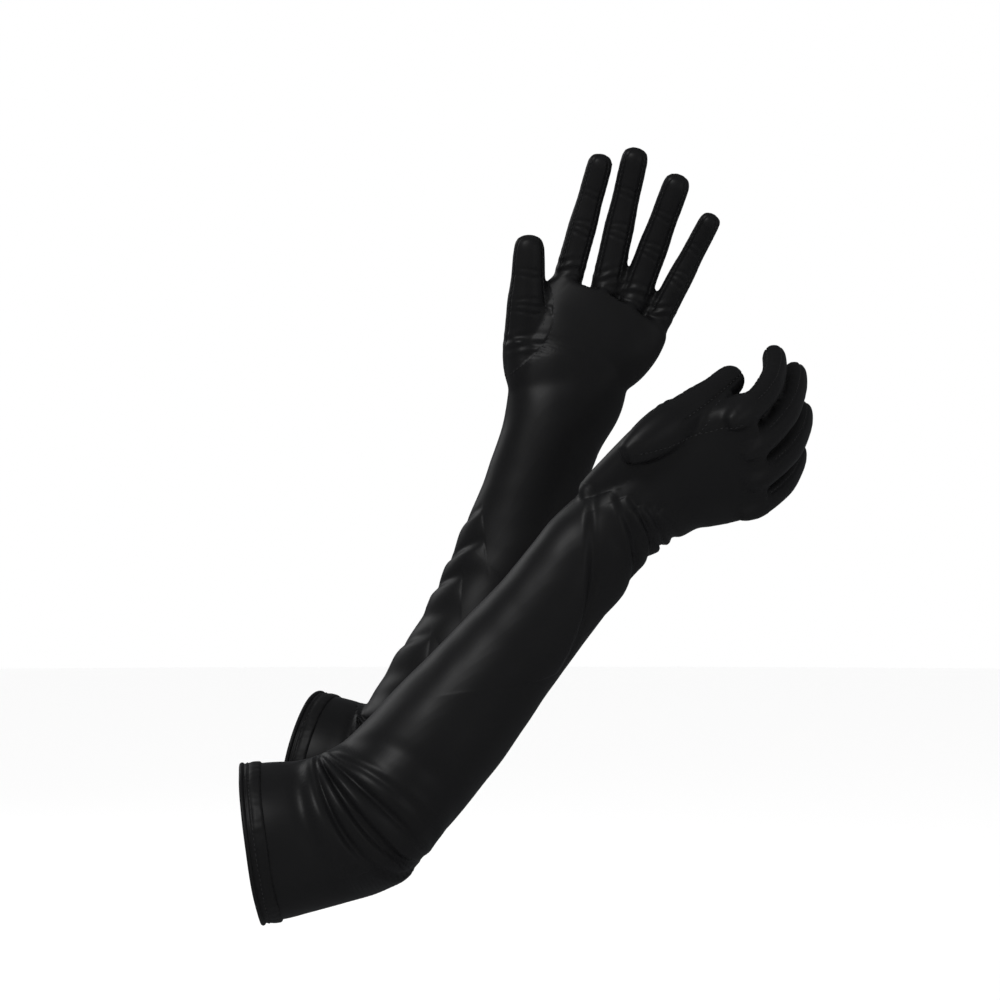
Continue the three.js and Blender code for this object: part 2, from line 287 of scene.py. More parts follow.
class Limb:
    """A frame with X along a limb or digit, Y across it and Z to its palm side."""

    def __init__(self, origin, along, palm):
        self.origin = Vector(origin)
        self.along = Vector(along).normalized()
        self.palm = (Vector(palm) - self.along * Vector(palm).dot(self.along)).normalized()
        self.across = self.palm.cross(self.along)

    def point(self, along, across, palm):
        """A place given in millimetres in this frame, in metres in the row's frame."""
        offset = self.along * along + self.across * across + self.palm * palm
        return self.origin + offset * MM

    def local(self, places):
        """Places of the row's frame, as millimetres in this frame."""
        axes = np.array([self.along, self.across, self.palm])
        return (places - np.array(self.origin)) @ axes.T / MM

    def turned(self, origin, splay, flex, side):
        """A digit's frame: splayed in the plane of the palm, then flexed toward the palm."""
        spread = Quaternion(self.palm * -side, math.radians(splay))
        across = spread @ self.across
        bend = Quaternion(-across, math.radians(flex)) @ spread
        return Limb(origin, bend @ self.along, bend @ self.palm)


class Digit:
    """One finger or thumb: an arc that curls toward the palm."""

    def __init__(self, name, limb, length, root, tip, curl):
        self.name = name
        self.limb = limb
        self.length = length
        self.root = root
        self.tip = tip
        self.curl = max(math.radians(curl), 1e-3)
        self.sunk = THUMB_SUNK if name == "thumb" else FINGER_SUNK

    def line(self, along):
        """The arc's point and direction at a distance from the root, in its own frame."""
        radius = self.length / self.curl
        turn = max(along, 0) / radius
        back = min(along, 0)
        return (
            (back + math.sin(turn) * radius, radius - math.cos(turn) * radius),
            (math.cos(turn), math.sin(turn)),
        )

    def radius(self, along):
        """Radius of the digit, which swells a little at its joints and rounds off at its tip."""
        share = min(max(along / self.length, 0), 1)
        swell = 0.035 * math.exp(-(((share - 0.4) / 0.1) ** 2))
        waist = -0.03 * math.exp(-(((share - 0.62) / 0.1) ** 2))
        radius = (self.root + (self.tip - self.root) * share) * (1 + swell + waist)
        if along < 0:
            radius *= 1 - 0.55 * (along / self.sunk) ** 2
        cap_length = self.tip * CAP_LENGTH
        cap = (along - (self.length - cap_length)) / cap_length
        if cap > 0:
            radius *= max(0, 1 - cap**2.5) ** (1 / 2.5)
        return radius

    def place(self, along, angle):
        """The point of the skin at a distance and an angle, where 0 is the palm side."""
        (x, z), (dx, dz) = self.line(along)
        radius = self.radius(along)
        across = math.sin(angle) * radius
        deep = math.cos(angle) * radius * FLATNESS
        return self.limb.point(x - dz * deep, across, z + dx * deep)

    def measure(self, places):
        """Distance along, distance off the line and angle round it, for places near the arc."""
        local = self.limb.local(places)
        radius = self.length / self.curl
        turn = np.arctan2(local[:, 0], radius - local[:, 2])
        along = np.where(local[:, 0] < 0, local[:, 0], turn * radius)
        deep = radius - np.hypot(local[:, 0], radius - local[:, 2])
        deep = np.where(local[:, 0] < 0, local[:, 2], deep)
        over = np.clip(along - self.length + self.tip, 0, None)
        return along, np.sqrt(deep**2 + local[:, 1] ** 2 + over**2), np.arctan2(local[:, 1], deep)


class Glove:
    """The frames, line and digits of one glove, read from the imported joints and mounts."""

    def __init__(self, name):
        worn = WORN[name]
        self.name = name
        self.side = worn["side"]
        rim = mounts[f"{name}_hem_edge"]
        cuff_along = -Vector(rim["axis"])
        elbow = Vector(joints[f"{name}_elbow"]["pos_m"])
        wrist = Vector(joints[f"{name}_wrist"]["pos_m"])
        across = -Vector(joints[f"{name}_wrist"]["axis"])
        palm = Vector(joints[f"{name}_thumb_spread"]["axis"]) * -self.side
        self.cuff_length = (elbow - Vector(rim["pos_m"])).dot(cuff_along) / MM
        self.forearm_length = (wrist - elbow).length / MM
        self.wrist_at = self.cuff_length + self.forearm_length
        self.cuff = Limb(elbow - cuff_along * self.cuff_length * MM, cuff_along, palm)
        self.forearm = Limb(elbow, wrist - elbow, palm)
        self.hand = Limb(wrist, across.cross(palm), palm)
        self.digits = []
        for i, (digit, (length, root, tip)) in enumerate(DIGITS.items()):
            start = Vector(joints[f"{name}_{digit}_flex"]["pos_m"])
            start += self.hand.along * worn["set_on"] * MM
            start += self.hand.across * self.side * worn["set_over"][i] * MM
            limb = self.hand.turned(start, worn["splay"][i], worn["flex"][i], self.side)
            length *= worn["drawn"]
            self.digits.append(Digit(digit, limb, length, root, tip, worn["curl"][i]))
        splay, flex, curl, length, set_out = worn["thumb"]
        start = Vector(joints[f"{name}_thumb_spread"]["pos_m"])
        start -= self.hand.across * self.side * set_out * MM
        limb = self.hand.turned(start, splay, flex, self.side)
        self.digits.append(Digit("thumb", limb, length, *THUMB_RADII, curl))
        self.make_line(worn["drift"])

    def knuckle_line(self, across):
        """Where the fingers begin, on an arc across the palm, in the hand's frame."""
        return KNUCKLE_CROWN - KNUCKLE_BOW * (self.side * across - KNUCKLE_MIDDLE) ** 2

    def line_point(self, along):
        """The middle of the sleeve or hand at a distance from the arm opening."""
        corners = (
            (self.cuff_length, ELBOW_REACH, self.cuff, self.forearm),
            (self.wrist_at, WRIST_REACH, self.forearm, self.hand),
        )
        for at, reach, near, far in corners:
            if abs(along - at) < reach:
                share = (along - at + reach) / (2 * reach)
                start = far.origin - near.along * reach * MM
                end = far.origin + far.along * reach * MM
                return (
                    start * (1 - share) ** 2 + far.origin * 2 * share * (1 - share)
                    + end * share**2
                )
        if along < self.cuff_length:
            return self.cuff.point(along, 0, 0)
        if along < self.wrist_at:
            return self.forearm.point(along - self.cuff_length, 0, 0)
        return self.hand.point(along - self.wrist_at, 0, 0)

    def make_line(self, drift):
        """Steps along the middle line, with the axes and half sizes of the section at each."""
        stations, widths, depths = (np.array(column, float) for column in zip(*SECTIONS))
        self.at = np.arange(stations[0], stations[-1] + 1.0, 2.0)
        self.line = np.array([self.line_point(along) for along in self.at])
        back = np.array([0.0, 1.0, 0.0])
        smooth = np.hanning(15) / np.hanning(15).sum()
        off = self.smoothed(np.interp(self.at, *zip(*drift)), smooth)
        edge = np.cross(back, np.gradient(self.line, axis=0))
        edge /= np.linalg.norm(edge, axis=1)[:, None]
        self.line += edge * off[:, None] * MM
        ahead = np.gradient(self.line, axis=0)
        self.ahead = ahead / np.linalg.norm(ahead, axis=1)[:, None]
        palm = np.array(self.hand.palm)
        deep = palm - self.ahead * (self.ahead @ palm)[:, None]
        self.deep = deep / np.linalg.norm(deep, axis=1)[:, None]
        self.wide = np.cross(self.deep, self.ahead)
        fuller_at, fuller = WORN[self.name]["fuller"]
        half_width = np.interp(self.at, stations, widths)
        half_width += fuller * np.exp(-(((self.at - fuller_at) / 18) ** 2))
        self.half_width = self.smoothed(half_width, smooth)
        self.half_depth = self.smoothed(np.interp(self.at, stations, depths), smooth)
        front = np.array([0.0, -1.0, 0.0])
        across = (self.wide @ front) / self.half_width
        toward = (self.deep @ front) / self.half_depth
        self.front = np.unwrap(np.arctan2(across, toward))
        edge = np.cross(back, self.ahead)
        lower = np.einsum("ij,ij->i", self.wide, edge)
        middle = lower[len(lower) // 2]
        self.winding = 1 if middle * math.cos(self.front[len(lower) // 2]) > 0 else -1

    @staticmethod
    def smoothed(values, window):
        padded = np.pad(values, len(window) // 2, mode="edge")
        return np.convolve(padded, window, mode="valid")

    def measure(self, places):
        """Distance along the sleeve and hand, and the angle round it, 0 at the front."""
        along = np.empty(len(places))
        angle = np.empty(len(places))
        for start in range(0, len(places), 20000):
            part = places[start : start + 20000]
            gaps = ((part[:, None, :] - self.line[None, :, :]) ** 2).sum(axis=2)
            near = gaps.argmin(axis=1)
            off = part - self.line[near]
            along[start : start + 20000] = self.at[near] + (
                np.einsum("ij,ij->i", off, self.ahead[near]) / MM
            )
            across = np.einsum("ij,ij->i", off, self.wide[near]) / self.half_width[near]
            toward = np.einsum("ij,ij->i", off, self.deep[near]) / self.half_depth[near]
            turn = np.arctan2(across, toward) - self.front[near]
            angle[start : start + 20000] = self.winding * turn
        return along, (angle + np.pi) % (2 * np.pi) - np.pi


def wrapped_tube(steps, sides, place):
    """A tube from a grid wrapped round on itself, with place(step, side) as shares of 0 to 1."""
    bm = bmesh.new()
    bmesh.ops.create_grid(bm, x_segments=steps, y_segments=sides, size=1)
    for vert in bm.verts:
        vert.co = place((vert.co.x + 1) / 2, (vert.co.y + 1) / 2)
    bmesh.ops.remove_doubles(bm, verts=bm.verts, dist=0.02 * MM)
    ends = [edge for edge in bm.edges if edge.is_boundary]
    if ends:
        bmesh.ops.holes_fill(bm, edges=ends, sides=0)
    bmesh.ops.recalc_face_normals(bm, faces=bm.faces)
    return bm


def limb_form(glove):
    """The sleeve and the palm as one closed form, from before the opening to the knuckles."""
    last = len(glove.at) - 1

    def place(step, side):
        i = round(step * last)
        at = glove.at[i]
        angle = side * 2 * math.pi
        across, deep = math.sin(angle), math.cos(angle)
        share = min(max((at - SQUARER_FROM) / (SQUARER_TO - SQUARER_FROM), 0), 1)
        power = 2 + 1.4 * share
        fuller = (abs(across) ** power + abs(deep) ** power) ** (-1 / power)
        y = across * fuller * glove.half_width[i]
        z = deep * fuller * glove.half_depth[i]
        point = glove.line[i] + (glove.wide[i] * y + glove.deep[i] * z) * MM
        bow = min(max((at - 350) / 50, 0), 1)
        back = (KNUCKLE_CROWN - glove.knuckle_line(y) + 4) * bow
        return Vector(point) - glove.hand.along * back * MM

    return wrapped_tube(last, 56, place)


def digit_form(digit):
    """A digit as a closed form, with its root inside the palm."""

    def place(step, side):
        along = -digit.sunk + step * (digit.length + digit.sunk)
        return digit.place(along, side * 2 * math.pi)

    return wrapped_tube(44, 28, place)


def thumb_mount_form(glove):
    """The full flesh between the wrist and the thumb."""
    thumb = glove.digits[-1]
    along, across, palm = THUMB_MOUNT_START
    start = glove.hand.point(along, -glove.side * across, palm)
    thin, full = THUMB_MOUNT_RADIUS
    end = thumb.limb.point(4, 0, 1)
    steps = 14

    def place(step, side):
        angle = side * 2 * math.pi
        radius = thin + (full - thin) * math.sin(math.pi * min(step * 0.62, 0.5))
        offset = glove.hand.across * math.sin(angle) + glove.hand.palm * math.cos(angle)
        return start.lerp(end, step) + offset * radius * MM

    return wrapped_tube(steps, 24, place)


def joined(forms):
    """Several closed forms in one mesh."""
    mesh = bpy.data.meshes.new("forms")
    whole = bmesh.new()
    for form in forms:
        form.to_mesh(mesh)
        whole.from_mesh(mesh)
        form.free()
    whole.to_mesh(mesh)
    whole.free()
    return mesh


def remeshed(mesh, cell):
    """One even skin round all the forms of a mesh, smoothed and refined."""
    made = bpy.data.objects.new("skin", mesh)
    bpy.context.scene.collection.objects.link(made)
    remesh = made.modifiers.new("Even cells", "REMESH")
    remesh.mode = "VOXEL"
    remesh.voxel_size = cell
    smooth = made.modifiers.new("Smooth", "SMOOTH")
    smooth.factor = 0.5
    smooth.iterations = 11
    refine = made.modifiers.new("Refine", "SUBSURF")
    refine.levels = refine.render_levels = 1
    depsgraph = bpy.context.evaluated_depsgraph_get()
    skin = bpy.data.meshes.new_from_object(made.evaluated_get(depsgraph))
    bpy.data.objects.remove(made)
    return skin


def vertex_places(mesh):
    places = np.empty(len(mesh.vertices) * 3)
    mesh.vertices.foreach_get("co", places)
    return places.reshape(-1, 3)


def vertex_normals(mesh):
    normals = np.empty(len(mesh.vertices) * 3, np.float32)
    mesh.vertex_normals.foreach_get("vector", normals)
    return normals.reshape(-1, 3).astype(float)


def fold_height(along, angle, radius, fold):
    """Height of one fold at each place of the unrolled limb, in millimetres."""
    from_at, from_turn, to_at, to_turn, width, height, lean, bow = fold
    middle = math.radians((from_turn + to_turn) / 2)
    turn = (angle - middle + np.pi) % (2 * np.pi) - np.pi
    round_at = turn * radius
    start = np.array([from_at, math.radians(from_turn) - middle])
    end = np.array([to_at, math.radians(to_turn) - middle])
    run_x = end[0] - start[0]
    run_y = (end[1] - start[1]) * radius
    length = np.hypot(run_x, run_y)
    off_x = along - start[0]
    off_y = round_at - start[1] * radius
    share = np.clip((off_x * run_x + off_y * run_y) / length**2, -0.2, 1.2)
    across = (off_x * run_y - off_y * run_x) / length
    across = across - bow * 4 * share * (1 - share) * np.sign(run_y)
    across = across / width
    steep = across * (1 + lean * np.sign(across))
    ridge = np.exp(-(steep**2)) - 0.45 * np.exp(-((np.abs(steep) - 1.5) ** 2) * 2.5)
    taper = np.clip(np.sin(np.pi * np.clip(share, 0, 1)), 0, 1) ** 0.5
    return height * ridge * taper


def noise_field(places, scale, seed):
    """Smooth noise at each place, the same on every run."""
    shift = Vector((seed * 7.3, seed * 3.1, seed * 5.7))
    return np.array([noise.noise(Vector(place) * scale + shift) for place in places])


def sleeve_shape(glove, along, angle, straight):
    """How far the sleeve's skin stands off, with its folds, its elbow and its slack."""
    radius = np.interp(along, glove.at, glove.half_width)
    height = np.zeros(len(along))
    for fold in FOLDS[glove.name]:
        height += fold_height(along, angle, radius, fold)
    outer = math.radians(90 if glove.name == "right" else 84)
    turn = np.abs((angle - outer + np.pi) % (2 * np.pi) - np.pi)
    high, long, broad = ELBOW_POINT
    reach = ((along - glove.cuff_length + 3) / long) ** 2 + (turn * radius / broad) ** 2
    elbow = high * np.exp(-reach)
    slack = 0.9 * noise_field(straight, 22, glove.side) + 0.35 * noise_field(straight, 60, 5)
    calm = np.clip((along - 4) / 20, 0, 1)
    return (height * sizes().fold_depth + slack) * calm + elbow


def digit_shape(digit, along, angle):
    """Gathers at a digit's root and creases inside its joints, in millimetres."""
    inside = np.clip(np.cos(angle), 0, 1)
    wave = np.cos(along * 0.9 + 2.6 * np.sin(angle) + 1.4 * np.sin(2 * angle + len(digit.name)))
    shape = 0.45 * np.exp(-(((along - 6) / 6) ** 2)) * np.clip(0.3 + np.cos(angle), 0, 1) * wave
    for share, count in ((0.4, 3), (0.68, 2)):
        for i in range(count):
            at = share * digit.length + (i - (count - 1) / 2) * 4.2 + 0.8 * np.sin(3 * angle + i)
            shape = shape - 0.42 * inside * np.exp(-(((along - at) / 1.25) ** 2))
    return shape


def seam_angles(name):
    """Angles of a digit's two pairs of seams, 0 on its palm side and half turn on its back."""
    if name == "thumb":
        return (math.radians(62), math.radians(150))
    return (math.radians(48), math.radians(128))


def panel_shade_share(digit, along, angle):
    """1 on the side panels between a finger's seams, 0 on its palm and back panels; the satin
    darkens these panels with painted shade.
    """
    low, high = seam_angles(digit.name)
    turn = np.abs(angle)
    inside = np.clip((turn - low) / 0.08, 0, 1) * np.clip((high - turn) / 0.08, 0, 1)
    ends = np.clip((along - 3) / 4, 0, 1) * np.clip((digit.length - 3 - along) / 3, 0, 1)
    return inside * ends


THUMB_SEAM = (16, 78)


def thumb_seam(along, palm):
    """The thumb seam's place across the hand at a distance from the wrist, thumb side negative."""
    share = np.clip((along - THUMB_SEAM[0]) / (THUMB_SEAM[1] - THUMB_SEAM[0]), 0, 1)
    bulge = np.where(palm > 0, 12, 3)
    return -47 + 9 * share + bulge * np.sin(np.pi * share**1.1)


PIECES = ("sleeve", "gauntlet", "index", "middle", "ring", "little", "thumb")


def piece_of(glove, places):
    """Which piece of the glove each place belongs to, as an index into PIECES."""
    along, _ = glove.measure(places)
    which = np.where(along < (glove.cuff_length + glove.wrist_at) / 2, 0, 1)
    local = glove.hand.local(places)
    measured = [digit.measure(places) for digit in glove.digits]
    gaps = np.stack([gap for _, gap, _ in measured[:4]])
    nearest = gaps.argmin(axis=0)
    ahead = local[:, 0] > glove.knuckle_line(local[:, 1]) - 2
    thumb_gap = measured[4][1]
    is_finger = ahead & (gaps.min(axis=0) < thumb_gap + 4)
    which = np.where(is_finger, 2 + nearest, which)
    across = glove.side * local[:, 1]
    start, end = THUMB_SEAM
    rooted = (across < thumb_seam(local[:, 0], local[:, 2])) & (local[:, 0] > start)
    free = (local[:, 0] >= end) & (thumb_gap < gaps.min(axis=0))
    is_thumb = np.where(local[:, 0] < end, rooted, free) & (along > glove.wrist_at)
    return np.where(is_thumb & (~is_finger | (thumb_gap < gaps.min(axis=0))), 6, which)


def shaped_skin(glove):
    """The glove's whole skin with its folds and seams, and what its pieces are cut from."""
    forms = [limb_form(glove), thumb_mount_form(glove)]
    forms += [digit_form(digit) for digit in glove.digits]
    mesh = remeshed(joined(forms), sizes().grain)
    places = vertex_places(mesh)
    along, angle = glove.measure(places)
    radius = np.interp(along, glove.at, glove.half_width)
    straight = np.stack([along, radius * np.cos(angle), radius * np.sin(angle)], axis=1) * MM
    which = piece_of(glove, places)
    on_hand = np.clip((along - glove.wrist_at - 40) / 30, 0, 1)
    shape = sleeve_shape(glove, along, angle, straight) * (1 - 0.65 * on_hand)
    panel = np.zeros(len(places))
    for i, digit in enumerate(glove.digits):
        mine = which == 2 + i
        at, _, turn = digit.measure(places[mine])
        fade = np.clip(at / 6, 0, 1)
        draw = np.zeros(mine.sum())
        for seam in seam_angles(digit.name):
            off = (np.abs(turn) - seam) * digit.root
            draw -= np.exp(-((off / 1.1) ** 2))
        ends = np.clip((at - 2) / 5, 0, 1)
        draw *= ends * sizes().seam_depth / MM
        shape[mine] = shape[mine] * (1 - fade) * 0.4 + digit_shape(digit, at, turn) + draw
        if digit.name != "thumb":
            panel[mine] = panel_shade_share(digit, at, turn)
    moved = places + vertex_normals(mesh) * shape[:, None] * MM
    mesh.vertices.foreach_set("co", moved.astype(np.float32).ravel())
    mesh.update()
    keep = mesh.attributes.new("skin_normal", "FLOAT_VECTOR", "POINT")
    keep.data.foreach_set("vector", vertex_normals(mesh).astype(np.float32).ravel())
    cloth = mesh.attributes.new("cloth", "FLOAT_VECTOR", "POINT")
    cloth.data.foreach_set("vector", straight.astype(np.float32).ravel())
    # Mask of the fourchette panels, which the satin darkens with painted shade between the fingers
    # and makes rougher.
    side = mesh.attributes.new("side_panel", "FLOAT", "POINT")
    side.data.foreach_set("value", panel.astype(np.float32))
    return mesh


def cut_piece(bm, wanted, name):
    """The wanted faces of a skin as their own mesh."""
    part = bm.copy()
    part.faces.ensure_lookup_table()
    spare = [face for face in part.faces if not wanted[face.index]]
    bmesh.ops.delete(part, geom=spare, context="FACES")
    mesh = bpy.data.meshes.new(name)
    part.to_mesh(mesh)
    part.free()
    return mesh


def add_wall(mesh, thickness):
    """Gives a skin its thickness: an inner face joined to the outer one round every edge."""
    bm = bmesh.new()
    bm.from_mesh(mesh)
    layer = bm.verts.layers.float_vector["skin_normal"]
    outer = bm.faces[:]
    made = bmesh.ops.extrude_face_region(bm, geom=outer, use_keep_orig=True)
    inner = [item for item in made["geom"] if isinstance(item, bmesh.types.BMVert)]
    for vert in inner:
        vert.co -= vert[layer] * thickness
        vert[layer] = -vert[layer]
    bmesh.ops.reverse_faces(bm, faces=bm.faces[:])
    bm.to_mesh(mesh)
    bm.free()


def keep_normals(mesh):
    """Shades a piece with the normals of the whole skin, so that its cut edges don't show."""
    mesh.shade_smooth()
    normals = np.empty(len(mesh.vertices) * 3, np.float32)
    mesh.attributes["skin_normal"].data.foreach_get("vector", normals)
    mesh.normals_split_custom_set_from_vertices(normals.reshape(-1, 3).tolist())
    mesh.attributes.remove(mesh.attributes["skin_normal"])


def placed(name, mesh, material):
    made = bpy.data.objects.new(name, mesh)
    bpy.context.scene.collection.objects.link(made)
    mesh.materials.clear()
    mesh.materials.append(material)
    return made


# Materials


class Shader:
    """The nodes of one material."""

    def __init__(self, name):
        found = bpy.data.materials.get(name)
        self.material = found or bpy.data.materials.new(name)
        self.material.use_nodes = True
        self.tree = self.material.node_tree
        self.tree.nodes.clear()

    def add(self, kind, settings=None, **inputs):
        """A node of a type, its settings set first, then the values or links of its sockets."""
        node = self.tree.nodes.new(kind)
        for name, value in (settings or {}).items():
            setattr(node, name, value)
        for name, value in inputs.items():
            socket = self.socket(node, name)
            if isinstance(value, Wire):
                self.tree.links.new(value.socket, socket)
            else:
                socket.default_value = value
        return node

    @staticmethod
    def socket(node, name):
        """A socket by its name with underscores for spaces, or by its number as in input_0."""
        if name.startswith("input_"):
            return node.inputs[int(name[6:])]
        wanted = name.replace("_", " ").lower()
        return next(item for item in node.inputs if item.name.lower() == wanted)

    def wire(self, node, output=0):
        return Wire(self, node.outputs[output])

    def mix(self, factor, first, second):
        node = self.add("ShaderNodeMix", {"data_type": "RGBA"})
        for index, value in ((0, factor), (6, first), (7, second)):
            if isinstance(value, Wire):
                self.tree.links.new(value.socket, node.inputs[index])
            else:
                node.inputs[index].default_value = value if index == 0 else (*value, 1)
        return self.wire(node, 2)

    def noise(self, where, stretch, detail=3):
        """Noise of 0 to 1 over coordinates stretched to so many cells a metre each way."""
        moved = self.add("ShaderNodeMapping", None, Vector=where, Scale=stretch)
        made = self.add(
            "ShaderNodeTexNoise", None, Vector=self.wire(moved), Scale=1.0, Detail=float(detail)
        )
        return self.wire(made)

    def close(self, surface):
        output = self.add("ShaderNodeOutputMaterial")
        self.tree.links.new(surface.outputs[0], output.inputs[0])
        return self.material


class Wire:
    """A socket's value, with arithmetic that adds the nodes it needs."""

    def __init__(self, shader, socket):
        self.shader = shader
        self.socket = socket

    def maths(self, operation, first, second):
        node = self.shader.add(
            "ShaderNodeMath", {"operation": operation}, input_0=first, input_1=second
        )
        return self.shader.wire(node)

    def __add__(self, other):
        return self.maths("ADD", self, other)

    def __mul__(self, other):
        return self.maths("MULTIPLY", self, other)

    __radd__ = __add__
    __rmul__ = __mul__


def satin_material(name, colour, lit, gloss):
    """Black satin: fine floats along the limb, a soft sheen, slight changes of tone, and painted
    shade on the fourchette panels between the fingers.
    """
    shader = Shader(name)
    cloth = shader.wire(shader.add("ShaderNodeAttribute", {"attribute_name": "cloth"}), 1)
    # The fourchette panel mask: it drives painted shade between the fingers and a rougher surface
    # there.
    side = shader.wire(shader.add("ShaderNodeAttribute", {"attribute_name": "side_panel"}), 2)
    floats = shader.noise(cloth, (90, 2600, 2600), 2)
    weave = shader.noise(cloth, (1500, 900, 900), 1)
    cloud = shader.noise(cloth, (14, 26, 26), 3)
    tone = shader.mix(cloud, colour, lit)
    # Painted shade: the fourchette panels are mixed toward a darker colour, standing in for the
    # shade between the fingers.
    tone = shader.mix(side * 0.75, tone, tuple(finish().side))
    rough = gloss - 0.05 + cloud * 0.1 + floats * 0.06 + side * 0.1
    height = floats * 0.6 + weave * 0.4
    bump = shader.add(
        "ShaderNodeBump", None, Strength=0.22, Distance=0.00012, Height=height
    )
    surface = shader.add(
        "ShaderNodeBsdfPrincipled", None, Base_Color=tone, Roughness=rough,
        Specular_IOR_Level=0.32, Sheen_Weight=0.008, Sheen_Roughness=0.35,
        Sheen_Tint=(0.6, 0.6, 0.65, 1), Normal=shader.wire(bump),
    )
    return shader.close(surface)


def thread_material():
    """Twisted black sewing thread."""
    shader = Shader("thread")
    where = shader.wire(shader.add("ShaderNodeTexCoord"), 3)
    twist = shader.noise(where, (3000, 3000, 3000), 1)
    fleck = shader.noise(where, (160, 160, 160), 2)
    base = tuple(finish().thread)
    tone = shader.mix(fleck, base, tuple(part * 1.7 for part in base))
    bump = shader.add("ShaderNodeBump", None, Strength=0.5, Distance=0.0001, Height=twist)
    surface = shader.add(
        "ShaderNodeBsdfPrincipled", None, Base_Color=tone, Roughness=0.55 + fleck * 0.1,
        Specular_IOR_Level=0.45, Normal=shader.wire(bump),
    )
    return shader.close(surface)


def satin():
    return satin_material("satin", tuple(finish().satin), tuple(finish().lit), finish().gloss)


# Pieces

skins = {}


def body_pair(name, piece):
    """The names of the two bodies on either side of a piece's joint."""
    if piece == "sleeve":
        return "sleeves", f"{name}_forearm"
    if piece == "gauntlet":
        return f"{name}_forearm", f"{name}_hand"
    return f"{name}_hand", f"{name}_{piece}"


def blend_ends(glove, piece):
    """Two points either side of a piece's joint, at the distances given for it."""
    for limb, near, turn, turned in (
        (glove.forearm, glove.cuff, SLEEVE_TURN, "sleeve"),
        (glove.hand, glove.forearm, WRIST_TURN, "gauntlet"),
    ):
        if piece == turned:
            middle = (limb.along + near.along).normalized()
            return limb.origin - middle * turn[0] * MM, limb.origin + middle * turn[1] * MM
    return digit_blend(glove, next(digit for digit in glove.digits if digit.name == piece))


def digit_blend(glove, digit):
    """Two points along a finger past its crotch, or for the thumb two places of the hand by the
    line of its seam.
    """
    if digit.name == "thumb":
        return tuple(glove.hand.point(x, -glove.side * y, 0) for x, y in THUMB_TURN)
    return tuple(digit.limb.point(along, 0, 0) for along in FINGER_TURN)


REPLACED = {
    "sleeve": ("upper_sleeve", "elbow_section"),
    "gauntlet": ("forearm_sleeve", "wrist_section", "hand", "knuckle_band"),
    "index": ("index", "fourchette_index_middle"),
    "middle": ("middle", "fourchette_middle_ring"),
    "ring": ("ring", "fourchette_ring_little"),
    "little": ("little",),
    "thumb": ("thumb", "thumb_collar"),
}


class GLOVES_OT_skins(bpy.types.Operator):
    """Make the satin of both gloves, cut into sleeve, gauntlet, thumb and finger stalls"""

    bl_idname = "gloves.skins"
    bl_label = "Satin"

    def execute(self, context):
        material = satin()
        for name in WORN:
            self.make_glove(Glove(name), material)
        return {"FINISHED"}

    def make_glove(self, glove, material):
        mesh = shaped_skin(glove)
        bm = bmesh.new()
        bm.from_mesh(mesh)
        opening, axis = glove.cuff.origin + glove.cuff.along * 0.6 * MM, glove.cuff.along
        bmesh.ops.bisect_plane(
            bm, geom=bm.verts[:] + bm.edges[:] + bm.faces[:], dist=1e-6,
            plane_co=opening, plane_no=axis, clear_inner=True,
        )
        bm.faces.ensure_lookup_table()
        bm.faces.index_update()
        centres = np.array([face.calc_center_median() for face in bm.faces])
        which = piece_of(glove, centres)
        skins[glove.name] = (glove, BVHTree.FromBMesh(bm))
        for i, piece in enumerate(PIECES):
            self.make_piece(glove, bm, which == i, piece, material)
        bm.free()

    def make_piece(self, glove, bm, wanted, piece, material):
        name = f"{glove.name}_{piece}_satin"
        mesh = cut_piece(bm, wanted, name)
        add_wall(mesh, sizes().cloth)
        keep_normals(mesh)
        made = placed(name, mesh, material)
        near, far = body_pair(glove.name, piece)
        start, end = blend_ends(glove, piece)
        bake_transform(made)
        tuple(start)
        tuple(end)
        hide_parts(*(f"{glove.name}_{node}" for node in REPLACED[piece]))


